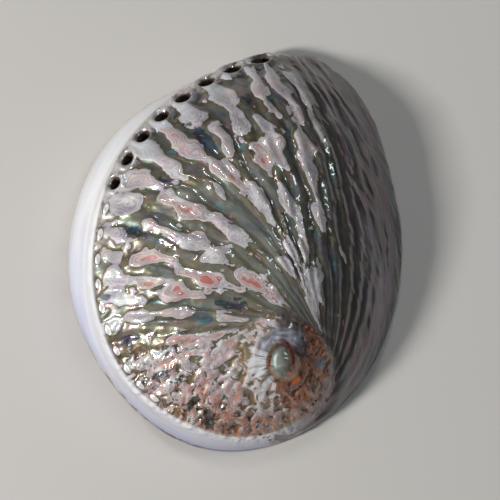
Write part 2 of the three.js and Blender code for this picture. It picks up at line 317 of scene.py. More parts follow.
def growth_sheet():
    """A flat spiral ribbon, one row a moment of growth, from the suture out over the keel to the band."""
    roots, ends, bends, waves = (np.array(column, float) for column in zip(*RIDGES))
    rows = np.arange(0, len(RIDGES) - 1, 1 / MOMENTS_A_RIDGE)
    root, end, bend, wave = (along(column, rows)[:, None] for column in (roots, ends, bends, waves))
    share = np.linspace(0, 1, COLUMNS_TO_KEEL)[None, :] ** 1.4
    angle = root + (end - root) * share ** bend
    radius = np.exp(mix(np.log(suture_radius(root)), np.log(keel_radius(end)), share))
    # The band goes on from the keel, to past the rim on the last turn and to the next suture on the others.
    out = np.linspace(0, 1, COLUMNS_ON_BAND + 1)[None, 1:]
    inner_turn = smooth(end, 255.0, 290.0)
    edge = mix(keel_radius(end) + BAND_WIDTH, suture_radius(end - 360), inner_turn)
    band_angle = end + 0 * out
    band_radius = mix(keel_radius(end), edge, out)
    angle = np.concatenate([angle, band_angle], 1)
    radius = np.concatenate([radius, band_radius], 1)
    across = np.concatenate([share + 0 * root, 1 + out + 0 * root], 1)
    turn = np.radians(angle)
    x = APEX[0] + radius * np.cos(turn)
    y = APEX[1] + radius * np.sin(turn)
    steps = np.hypot(np.diff(x, axis=1), np.diff(y, axis=1))
    reach = np.concatenate([0 * root, np.cumsum(steps, 1)], 1)
    suture = radius - suture_radius(np.where(across > 1, angle - 360, angle))
    # The newest band has no whorl outside it, so its places count as far from any suture.
    suture = np.where((across > 1) & (end < 262), -30, suture)
    index = np.arange(x.size).reshape(x.shape)
    faces = np.stack([index[:-1, :-1], index[:-1, 1:], index[1:, 1:], index[1:, :-1]], -1).reshape(-1, 4)
    growth = wave + 0 * x
    bent = growth + 0.14 * np.sin(reach / 4.5 + growth * 1.9) + 0.1 * np.sin(reach / 2.3 - growth * 3.1)
    island, redness, dark, blue = (np.full(x.shape, low) for low in (-1.6, 0.0, 0.0, 0.0))
    for where, length_on, half_width, half_length, red in ISLANDS:
        inside = 1 - np.hypot((bent - where) / half_width, (reach - length_on) / half_length)
        redness = np.where(inside > np.maximum(island, -0.9), red, redness)
        island = np.maximum(island, inside)
    for where, length_on, half_width, half_length, strength, blueness in DARK_SPOTS:
        inside = bell(np.hypot((growth - where) / half_width, (reach - length_on) / half_length), 1.1)
        blue = np.where(inside * strength > dark, blueness, blue)
        dark = np.maximum(dark, inside * strength)
    values = {"growth": growth, "across": across, "reach": reach, "keel": radius - keel_radius(angle),
              "suture": suture, "island": island, "redness": redness, "dark": dark, "blue": blue}
    return mesh_object("growth_sheet", np.stack([x, y, 0 * x], -1).reshape(-1, 3), faces,
                       {key: value.ravel() for key, value in values.items()})


def on_dome(x, y, halvings=30):
    """The dome's share and turn above a place in plan, found by halving."""
    turn = math.atan2(y - CROWN[1], x - CROWN[0])
    radius = math.hypot(x - CROWN[0], y - CROWN[1])
    low, high = 0.0, 1.0
    for _ in range(halvings):
        middle = (low + high) / 2
        px, py, _z = dome(middle, turn)
        if math.hypot(px - CROWN[0], py - CROWN[1]) < radius:
            low = middle
        else:
            high = middle
    return low, turn


def dome_frame(x, y, step=0.004):
    """The point of the dome above a place in plan, and the way a pore stands there."""
    share, turn = on_dome(x, y)
    share = min(max(share, step), 1 - step)
    point = Vector(dome(share, turn))
    outwards = Vector(dome(share + step, turn)) - Vector(dome(share - step, turn))
    around = Vector(dome(share, turn + step)) - Vector(dome(share, turn - step))
    normal = outwards.cross(around).normalized()
    return point, (normal + PORES["upright"] * Vector((0, 0, 1))).normalized()


def pore_points():
    """Where the pores are along the keel, newest first, with their directions and sizes."""
    points, alongs, acrosses, lengths, breadths, opens = [], [], [], [], [], []
    for number in range(PORES["open"] + PORES["closed"]):
        degrees = PORES["first"] + PORES["step"] * number + PORES["stretch"] * number ** 2
        places = []
        for angle in (degrees, degrees + 1):
            radius = float(keel_radius(angle)) - PORES["inset"]
            turn = math.radians(angle)
            places.append(dome_frame(APEX[0] + radius * math.cos(turn), APEX[1] + radius * math.sin(turn)))
        (point, normal), (ahead, _) = places
        forward = ahead - point
        forward = (forward - normal * forward.dot(normal)).normalized()
        is_open = number < PORES["open"]
        aged = number / (PORES["open"] - 1)
        points.append(point)
        alongs.append(forward)
        acrosses.append(forward.cross(normal))
        lengths.append(mix(*PORES["lengths"], aged) if is_open else PORES["closed_size"][0])
        breadths.append(mix(*PORES["breadths"], aged) if is_open else PORES["closed_size"][1])
        opens.append(float(is_open))
    return mesh_object("pore_points", points, (), {"length": lengths, "breadth": breadths, "open": opens},
                       {"along": alongs, "sideways": acrosses})


# Loops from the inside's edge, under the rim and up to the outside's edge. Each says how much of the shelf's
# width, the land's width and a fixed inset it lies in from the rim, and how much of the shelf's height and a
# fixed rise it stands up.
LOOP_PARTS = ("shelf_part", "land_part", "inset", "shelf_rise", "rise")
RIM_LOOPS = [(1, 0, -0.25, 1, 0.25), (1, 0, -SHELF_ROUND, 1, 0), (0.5, 0.5, 0.1, 0.5, 0),
             (0, 1, 1.3, 0, 0.04), (0, 1, LAND_START, 0, 0), (0, 0, LAND_START, 0, 0),
             (0, 0, 0.55, 0, 0.15), (0, 0, 0.15, 0, 0.55)]


def disc_place(column, row, rings):
    """The share and turn of a cell's corner, where square rings of cells are drawn round."""
    column, row = np.asarray(column, float), np.asarray(row, float)
    wide = np.abs(column) > np.abs(row)
    ring = np.where(wide, column, row)
    safe = np.where(ring == 0, 1, ring)
    turn = np.where(wide, math.pi / 4 * row / safe, math.pi / 2 - math.pi / 4 * column / safe)
    return np.abs(ring) / rings, np.where(ring < 0, turn + math.pi, turn)


def edge_cells(rings):
    """The corners of the outermost square ring, in order."""
    go = range(-rings, rings)
    back = range(rings, -rings, -1)
    return ([(rings, i) for i in go] + [(i, rings) for i in back] + [(-rings, i) for i in back]
            + [(i, -rings) for i in go])


def flat_pattern():
    """The shell's cells laid flat: two discs and the loops between them."""
    shares, turns, sheets, insets, faces = [], [], [], [], []

    def sheet(rings, kind, upwards):
        first = sum(len(s) for s in shares)
        rows, columns = np.mgrid[-rings:rings + 1, -rings:rings + 1]
        share, turn = disc_place(columns.ravel(), rows.ravel(), rings)
        shares.append(share)
        turns.append(turn)
        sheets.append(np.full(share.size, kind))
        insets.append(np.zeros((share.size, len(LOOP_PARTS))))
        side = 2 * rings + 1
        index = first + np.arange(side * side).reshape(side, side)
        cells = np.stack([index[:-1, :-1], index[:-1, 1:], index[1:, 1:], index[1:, :-1]], -1)
        column_sign, row_sign = columns[:-1, :-1] < 0, rows[:-1, :-1] < 0
        turned = (column_sign != row_sign)[..., None]
        cells = np.where(turned, np.roll(cells, -1, -1), cells).reshape(-1, 4)
        # Triangles, each cell split along the way that points at the crown.
        split_cells = np.concatenate([cells[:, [0, 1, 2]], cells[:, [0, 2, 3]]])
        faces.extend((split_cells if upwards else split_cells[:, ::-1]).tolist())
        return [int(index[row + rings, column + rings]) for column, row in edge_cells(rings)]

    outside = sheet(OUTER_RINGS, 0.0, True)
    inside = sheet(INNER_RINGS, 1.0, False)
    cells = np.array(edge_cells(OUTER_RINGS))
    _, loop_turn = disc_place(cells[:, 0], cells[:, 1], OUTER_RINGS)
    loops = []
    for loop in RIM_LOOPS:
        first = sum(len(s) for s in shares)
        shares.append(np.ones(loop_turn.size))
        turns.append(loop_turn)
        sheets.append(np.full(loop_turn.size, 2.0))
        insets.append(np.tile(loop, (loop_turn.size, 1)))
        loops.append(list(range(first, first + loop_turn.size)))
    loops.append(outside)
    for inner, outer in zip(loops, loops[1:]):
        for j in range(len(inner)):
            k = (j + 1) % len(inner)
            faces.append((inner[j], inner[k], outer[k], outer[j]))
    for j, here in enumerate(inside):
        there = inside[(j + 1) % len(inside)]
        a, b, c = (loops[0][(2 * j + k) % len(loops[0])] for k in range(3))
        faces.extend([(here, b, a), (here, there, b), (there, c, b)])
    share, turn = np.concatenate(shares), np.concatenate(turns)
    loop = np.concatenate(insets)
    flat = np.stack([share * np.cos(turn), share * np.sin(turn), 0 * share], -1)
    attributes = {"share": share, "turn": turn, "sheet": np.concatenate(sheets)}
    attributes.update({name: loop[:, i] for i, name in enumerate(LOOP_PARTS)})
    return mesh_object("shell", flat, faces, attributes)


# ---------------------------------------------------------------- patterns of growth

def wander(growth, reach, seed, size, detail=1.0):
    """A smooth stray from -1 to 1, in patches of so much growth and so many millimetres of reach."""
    return (noise(vector(growth / size[0], reach / size[1], seed), detail) - 0.5) * 2.6


def flake_pattern(x, y):
    """Small flakes of no set direction, about -1 to 1, by place in millimetres."""
    return (noise(vector(x / 3.3, y / 3.3, 11.0), 2.5, 0.55, 0.9) - 0.5) * 3.4


def pale_layer(growth, reach, island, x, y):
    """Above 0 in the pale islands, below in the older nacre between them, about -1 to 1."""
    frayed = island + 0.1 + wander(growth, reach, 3.1, (0.8, 6.0), 2.0) * 0.75
    aged = smooth(growth, 20.0, 24.0)
    strays = wander(growth, reach, 8.3, (0.8, 6.5), 2.0) * 1.7 - 0.8
    crumbs = flake_pattern(x, y) + 0.12
    streaks = wander(growth, reach, 5.7, (2.0, 34.0), 2.0) * 1.1 - 0.05
    newest = fade(growth, 2.0, 6.5)
    older = greatest(frayed, mix(strays, greatest(strays, crumbs), aged))
    return mix(older, greatest(streaks, frayed), newest)


def growth_folds(growth, reach):
    """The even folds of growth, -1 in the valleys and 1 on the crests."""
    return cos((growth + wander(growth, reach, 9.0, (2.5, 24.0)) * 0.4) * (2 * math.pi))


def ridge_relief(growth, reach, level):
    """Height of the wavy ridges, about -1 to 1."""
    hump = smooth(level, -0.45, 0.4) * 2.0 - 1.0
    swells = wander(growth, reach, 6.0, (1.4, 11.0), 2.0)
    ripples = wander(growth, reach, 16.0, (0.5, 4.0), 2.0)
    older = smooth(growth, 1.0, 6.0)
    folds = growth_folds(growth, reach) * mix(0.07, 0.3, older)
    return hump * mix(0.26, 0.36, older) + folds + swells * 0.55 + ripples * mix(0.1, 0.2, older)


def muscle_scar(x, y):
    """Distance from the middle of the muscle's scar on the inside, 1 at its wavering edge."""
    stray = (noise(vector(x / 7.0, y / 7.0, 61.0), 2.0) - 0.5) * 0.5
    a, b = ((place - SCAR["middle"][i]) / SCAR["half"][i] for i, place in enumerate((x, y)))
    return distance(a, b) + stray


# ---------------------------------------------------------------- the shell's node tree

def attribute(tree, name, kind="FLOAT"):
    """A named value of the points that the tree is working on."""
    node = add_node(tree, "GeometryNodeInputNamedAttribute", {"Name": name}, data_type=kind)
    return Field(node.outputs[0])


# What the growth sheet tells about a place.
GROWN = ("growth", "reach", "across", "keel", "suture", "island", "redness", "dark", "blue")


def shell_tree(outer_material, inner_material):
    """The node tree that stands the flat pattern up as the shell, and cuts its pores."""
    tree = bpy.data.node_groups.new("shell_growth", "GeometryNodeTree")
    ask = tree.interface.new_socket
    ask("Geometry", in_out="INPUT", socket_type="NodeSocketGeometry")
    sizes = {"Wall thickness": WALL, "Ridge height": 1.0, "Keel height": 1.6, "Band groove": 0.9,
             "Spire height": 2.6, "Eye height": 2.0, "Eye ring depth": 0.8, "Suture depth": 1.3,
             "Pore lip": 0.75, "Scar height": 0.4}
    for name, value in sizes.items():
        ask(name, in_out="INPUT", socket_type="NodeSocketFloat").default_value = value
    ask("Growth guide", in_out="INPUT", socket_type="NodeSocketObject")
    ask("Pore guide", in_out="INPUT", socket_type="NodeSocketObject")
    ask("Shift", in_out="INPUT", socket_type="NodeSocketVector")
    ask("Geometry", in_out="OUTPUT", socket_type="NodeSocketGeometry")
    given = add_node(tree, "NodeGroupInput")
    size = {name: Field(given.outputs[name]) for name in sizes}

    node = partial(add_node, tree)

    def place(geometry, position=None, offset=None, selection=None):
        made = node("GeometryNodeSetPosition", {"Geometry": geometry, "Position": position, "Offset": offset,
                                                "Selection": selection})
        return Field(made.outputs[0])

    def compare(a, b, operation):
        made = node("FunctionNodeCompare", {0: a, 1: b}, data_type="FLOAT", operation=operation)
        return Field(made.outputs[0])

    position = Field(node("GeometryNodeInputPosition").outputs[0])
    normal = Field(node("GeometryNodeInputNormal").outputs[0])
    share, turn, sheet = (attribute(tree, name) for name in ("share", "turn", "sheet"))
    is_outside = compare(sheet, 0.5, "LESS_THAN")
    is_inside = compare(absolute(sheet - 1.0), 0.5, "LESS_THAN")
    is_rim = compare(sheet, 1.5, "GREATER_THAN")

    # The two sheets on the dome, and the loops of the rim.
    reach_share = share * mix(1.0, INSIDE_REACH, least(sheet, 1.0))
    on_shell = vector(*dome(reach_share, turn))
    width, land, shelf = (between(span, turn) for span in (SHELF_WIDTH, LAND_WIDTH, SHELF_HEIGHT))
    loop = {name: attribute(tree, name) for name in LOOP_PARTS}
    rim = rim_radius(turn) - (loop["shelf_part"] * width + loop["land_part"] * land + loop["inset"])
    on_rim = vector(CROWN[0] + rim * cos(turn), CROWN[1] + rim * sin(turn),
                    loop["shelf_rise"] * shelf + loop["rise"])
    shell = place(Field(given.outputs["Geometry"]), on_shell)
    shell = place(shell, on_rim, selection=is_rim)

    # What the guides say at a place.
    guide = node("GeometryNodeObjectInfo", {"Object": Field(given.outputs["Growth guide"])})
    x, y, z = split(position)

    def grown(name):
        made = node("GeometryNodeSampleNearestSurface",
                    {"Mesh": Field(guide.outputs["Geometry"]), "Value": attribute(tree, name),
                     "Sample Position": vector(x, y, 0.0)}, data_type="FLOAT")
        return Field(made.outputs["Value"])

    told = {name: grown(name) for name in GROWN}
    growth, reach, keel, suture = (told[name] for name in ("growth", "reach", "keel", "suture"))
    pore_info = node("GeometryNodeObjectInfo", {"Object": Field(given.outputs["Pore guide"])})
    pores = Field(pore_info.outputs["Geometry"])
    nearest = Field(node("GeometryNodeSampleNearest", {"Geometry": pores}, domain="POINT").outputs[0])

    def of_pore(value, kind):
        made = node("GeometryNodeSampleIndex", {"Geometry": pores, "Value": value, "Index": nearest},
                    data_type=kind, domain="POINT")
        return Field(made.outputs[0])

    def dot(a, b):
        made = node("ShaderNodeVectorMath", {0: a, 1: b}, operation="DOT_PRODUCT")
        return Field(made.outputs["Value"])

    def vectors(operation, a, b):
        return Field(node("ShaderNodeVectorMath", {0: a, 1: b}, operation=operation).outputs["Vector"])

    away = vectors("SUBTRACT", position, of_pore(position, "FLOAT_VECTOR"))
    lengthwise = dot(away, of_pore(attribute(tree, "along", "FLOAT_VECTOR"), "FLOAT_VECTOR"))
    sideways = dot(away, of_pore(attribute(tree, "sideways", "FLOAT_VECTOR"), "FLOAT_VECTOR"))
    length = of_pore(attribute(tree, "length"), "FLOAT")
    breadth = of_pore(attribute(tree, "breadth"), "FLOAT")
    is_open = of_pore(attribute(tree, "open"), "FLOAT")
    pore = distance(lengthwise / (length * 0.5), sideways / (breadth * 0.5))

    # Relief of the outside, along the dome's own normal.
    from_apex = from_spot(APEX, x, y)
    old = smooth(from_apex, 20.0, 40.0)
    on_band = smooth(keel, -1.0, 4.0)
    level = pale_layer(growth, reach, told["island"], x, y)
    ridges = ridge_relief(growth, reach, level) * (1.0 - on_band) * mix(0.45, 1.0, old)
    crest = size["Keel height"] * bell(keel, 4.5) * old
    groove = size["Band groove"] * bell(keel - 6.0, 3.5) * old
    spire = size["Spire height"] * bell(from_apex, 13.0)
    # The seam shows round the right of the spire, and on the left the whorl flares over it.
    seam_shows = fade(growth, 9.0, 17.0)
    seam_shows = seam_shows + smooth(growth, 32.0, 36.0) * fade(growth, 43.0, 46.0)
    seam = size["Suture depth"] * bell(suture, 1.6) * smooth(from_apex, 3.0, 12.0) * seam_shows
    seam = seam * fade(share, 0.84, 0.92)
    seam = seam + size["Eye ring depth"] * bell(from_apex - EYE_RING, 0.9)
    lip = size["Pore lip"] * bell(pore - 1.5, 0.45)
    sink = 2.2 * fade(pore, 0.5, 1.25)
    knob = fade(pore, 0.4, 1.25) * 0.55
    pore_height = mix(knob, lip - sink, is_open)
    calm = smooth(pore, 0.9, 2.2)
    eye = size["Eye height"] * bell(from_apex, 3.6)
    flakes = flake_pattern(x, y) * smooth(growth, 20.0, 24.0) * smooth(from_apex, 5.0, 8.0)
    flakes = flakes * (1.0 - on_band * old) * 0.6
    relief = (ridges * calm + flakes) * size["Ridge height"]
    relief = relief + crest - groove + spire + eye - seam + pore_height
    relief = relief * fade(share, 0.93, 1.0)
    outward = vectors("MULTIPLY", normal, vector(relief, relief, relief))
    shell = place(shell, offset=outward, selection=is_outside)

    # The inside stands a wall's thickness in, and draws in to the shelf near the rim.
    thick = size["Wall thickness"] + size["Scar height"] * fade(muscle_scar(x, y), 0.85, 1.0)
    shell = place(shell, offset=vectors("MULTIPLY", normal, vector(thick, thick, thick)), selection=is_inside)
    radius = from_spot(CROWN, x, y)
    shelf_edge = rim_radius(turn) - width - SHELF_ROUND
    draw = smooth(share, COVE_START, 1.0)
    inner_radius = mix(radius, least(radius, shelf_edge), draw)
    inner_height = mix(z, shelf + SHELF_ROUND, draw * draw)
    cove = vector(CROWN[0] + inner_radius * cos(turn), CROWN[1] + inner_radius * sin(turn), inner_height)
    shell = place(shell, cove, selection=is_inside)

    # Open pores are cut through by oval posts.
    post = node("GeometryNodeMeshCylinder", {"Vertices": POST_SIDES, "Radius": 0.5, "Depth": POST_DEPTH})
    only_open = node("GeometryNodeSeparateGeometry",
                     {"Geometry": pores, "Selection": attribute(tree, "open")}, domain="POINT")
    along_axis, side_axis = (attribute(tree, name, "FLOAT_VECTOR") for name in ("along", "sideways"))
    turned = node("FunctionNodeAxesToRotation", {"Primary Axis": along_axis, "Secondary Axis": side_axis},
                  primary_axis="X", secondary_axis="Y")
    posts = node("GeometryNodeInstanceOnPoints",
                 {"Points": Field(only_open.outputs[0]), "Instance": Field(post.outputs["Mesh"]),
                  "Rotation": Field(turned.outputs[0]),
                  "Scale": vector(attribute(tree, "length"), attribute(tree, "breadth"), 1.0)})
    solid_posts = node("GeometryNodeRealizeInstances", {"Geometry": Field(posts.outputs[0])})
    cut = node("GeometryNodeMeshBoolean", {"Mesh 1": shell}, operation="DIFFERENCE", solver="MANIFOLD")
    feed(tree, cut.inputs["Mesh 2"], Field(solid_posts.outputs[0]))
    shell = Field(cut.outputs["Mesh"])

    # What the finishes read.
    keep = {**told, "pore": least(pore, 6.0), "pore_open": is_open, "from_apex": from_apex, "plan_x": x,
            "plan_y": y}
    for name, value in keep.items():
        made = node("GeometryNodeStoreNamedAttribute", {"Geometry": shell, "Name": name, "Value": value},
                    data_type="FLOAT", domain="POINT")
        shell = Field(made.outputs[0])

    shell = place(shell, vectors("MULTIPLY", vectors("SUBTRACT", position, Field(given.outputs["Shift"])),
                                 (MM, MM, MM)))
    # The inside's finish everywhere, then the outside's on the outer sheet and down the walls of the pores.
    pore_wall = compare(absolute(attribute(tree, "pore") - 1.0), 0.02, "LESS_THAN")
    outer_face = compare(attribute(tree, "outer_face"), 0.5, "GREATER_THAN")
    made = node("GeometryNodeRealizeInstances", {"Geometry": shell})
    for material, selection in ((inner_material, None), (outer_material, outer_face),
                                (outer_material, pore_wall)):
        made = node("GeometryNodeSetMaterial", {"Geometry": Field(made.outputs[0]), "Material": material,
                                                "Selection": selection})
    end = node("NodeGroupOutput")
    tree.links.new(made.outputs[0], end.inputs[0])
    return tree


# ---------------------------------------------------------------- finishes

def read(tree, name):
    """What the node tree stored on the shell under this name."""
    node = add_node(tree, "ShaderNodeAttribute", attribute_name=name, attribute_type="GEOMETRY")
    return Field(node.outputs["Fac"])


def blend_colour(tree, a, b, share):
    """The first colour where share is 0 and the second where it is 1."""
    node = add_node(tree, "ShaderNodeMix", data_type="RGBA")
    feed(tree, node.inputs[0], share)
    for socket, colour in ((node.inputs[6], a), (node.inputs[7], b)):
        feed(tree, socket, colour if isinstance(colour, Field) else (*colour, 1.0))
    return Field(node.outputs[2])


def new_material(name):
    """An empty material, with its tree and its surface shader."""
    material = bpy.data.materials.new(name)
    material.use_nodes = True
    tree = material.node_tree
    return material, tree, tree.nodes["Principled BSDF"]


def ramp(tree, value, stops):
    """A colour that runs through the stops as the value rises."""
    node = add_node(tree, "ShaderNodeValToRGB", {0: value})
    colours = node.color_ramp.elements
    while len(colours) < len(stops):
        colours.new(0.5)
    for element, (at, colour) in zip(colours, stops):
        element.position = at
        element.color = (*colour, 1.0)
    return Field(node.outputs[0])


def paint(red, green, blue):
    """A colour given as a painter's 0 to 255, made linear for the shader."""
    return tuple((c / 255.0) ** 2.2 for c in (red, green, blue))


def line(value, at, half_width):
    """1 on the contour where value is at, 0 farther than half_width from it."""
    return fade(absolute(value - at), half_width * 0.4, half_width)


def spire_colour(colour, olive, flakes, x, y, from_apex, tree):
    """Paint the spire: a grey eye in a tan ring with a painted highlight, rough brown to its right, white
    feathering on its left.
    """
    across, upwards = (x - float(APEX[0])) / from_apex, (y - float(APEX[1])) / from_apex

    def facing(degrees):
        """1 on the side of the eye that lies this way, counted from the right, and -1 on the other."""
        return across * math.cos(math.radians(degrees)) + upwards * math.sin(math.radians(degrees))

    def spot(right, up, size, stray=1.0):
        """1 in a ragged round spot, so many millimetres right of the eye and up from it."""
        return fade(from_spot(APEX + (right, up), x, y) + flakes * stray, size * 0.6, size)

    blend = partial(blend_colour, tree)

    left = smooth(facing(175) + flakes * 0.35, -0.3, 0.6)
    fine = noise(vector(x / 0.9, y / 0.9, 3.0), 3.0)
    blotch = noise(vector(x / 3.0, y / 3.0, 8.0), 3.0, 0.6, 0.8)
    flaky = blend(blend(olive, paint(150, 122, 96), smooth(blotch, 0.4, 0.6)),
                  blend(paint(212, 204, 204), paint(206, 160, 150), smooth(blotch, 0.54, 0.62)),
                  smooth(flakes, -0.05, 0.2))
    merging = smooth(from_apex, 6.0, 8.0) * fade(from_apex + flakes * 2.5, 16.0, 20.0)
    below = smooth(facing(225), 0.35, 0.8)
    colour = blend(colour, flaky, greatest(left, below) * merging)
    rough = ramp(tree, blotch + (fine - 0.5) * 0.5,
                 [(0.32, paint(66, 36, 32)), (0.42, paint(124, 76, 58)), (0.5, paint(164, 104, 74)),
                  (0.57, paint(134, 110, 106)), (0.66, paint(202, 112, 56))])
    rough_edge = mix(15.5, 6.5, left)
    colour = blend(colour, rough, fade(from_apex + flakes, rough_edge, rough_edge + 1.5))
    colour = blend(colour, paint(92, 84, 84), spot(2.0, 11.5, 7.0, 2.0) * 0.85)
    colour = blend(colour, paint(62, 58, 66), spot(5.5, 5.0, 4.2) * 0.8)
    colour = blend(colour, paint(118, 122, 142), spot(13.0, 0.5, 2.6) * 0.7)
    colour = blend(colour, paint(196, 108, 50), spot(3.6, -5.0, 2.4) * 0.8)

    # Feathering left of the eye, and a blue-grey sheen over its top.
    feather = noise(vector(across * 7.0, upwards * 7.0, from_apex / 9.0), 3.0)
    feather_end = 11.5 + (feather - 0.5) * 16.0
    feathered = smooth(facing(188), 0.5, 0.8) * smooth(from_apex, 6.0, 6.8)
    feathered = feathered * fade(from_apex, feather_end - 1.0, feather_end + 1.0)
    feather_tone = blend(paint(128, 116, 104), paint(226, 224, 230), smooth(feather, 0.4, 0.52))
    colour = blend(colour, feather_tone, feathered)
    sheen = noise(vector(from_apex / 1.4, across * 2.2, upwards * 2.2), 3.0)
    sheen_reach = smooth(facing(105), 0.35, 0.85) * smooth(from_apex, 6.2, 7.4) * fade(from_apex, 10.0, 13.0)
    sheen_tone = blend(paint(118, 114, 118), paint(178, 182, 202), smooth(sheen, 0.34, 0.66))
    colour = blend(colour, sheen_tone, sheen_reach * 0.85)

    eye_x, eye_y = x - float(APEX[0]) + 1.3, y - float(APEX[1])
    eye = sqrt(eye_x * eye_x / 0.5 + eye_y * eye_y / 1.3)
    eye_tone = blend(paint(128, 132, 126), paint(98, 94, 84), smooth(eye_x + flakes, -1.5, 2.5))
    # Painted highlight: a pale crescent on the left of the eye.
    gleam = line(eye, 2.9, 0.9) * smooth(facing(176), 0.6, 0.95)
    eye_tone = blend(eye_tone, paint(206, 218, 218), gleam * 0.8)
    colour = blend(colour, eye_tone, fade(eye + flakes * 0.3, 4.2, 5.2))
    red_curve = absolute(eye - 6.4 + flakes * 0.3)
    red_side = smooth(facing(45), 0.35, 0.75)
    colour = blend(colour, paint(104, 24, 30), fade(red_curve, 0.5, 0.9) * red_side * 0.85)
    ring = line(from_apex, 5.9, 0.55) * smooth(facing(215), -0.5, 0.2)
    return blend(colour, paint(158, 128, 98), ring * 0.85)


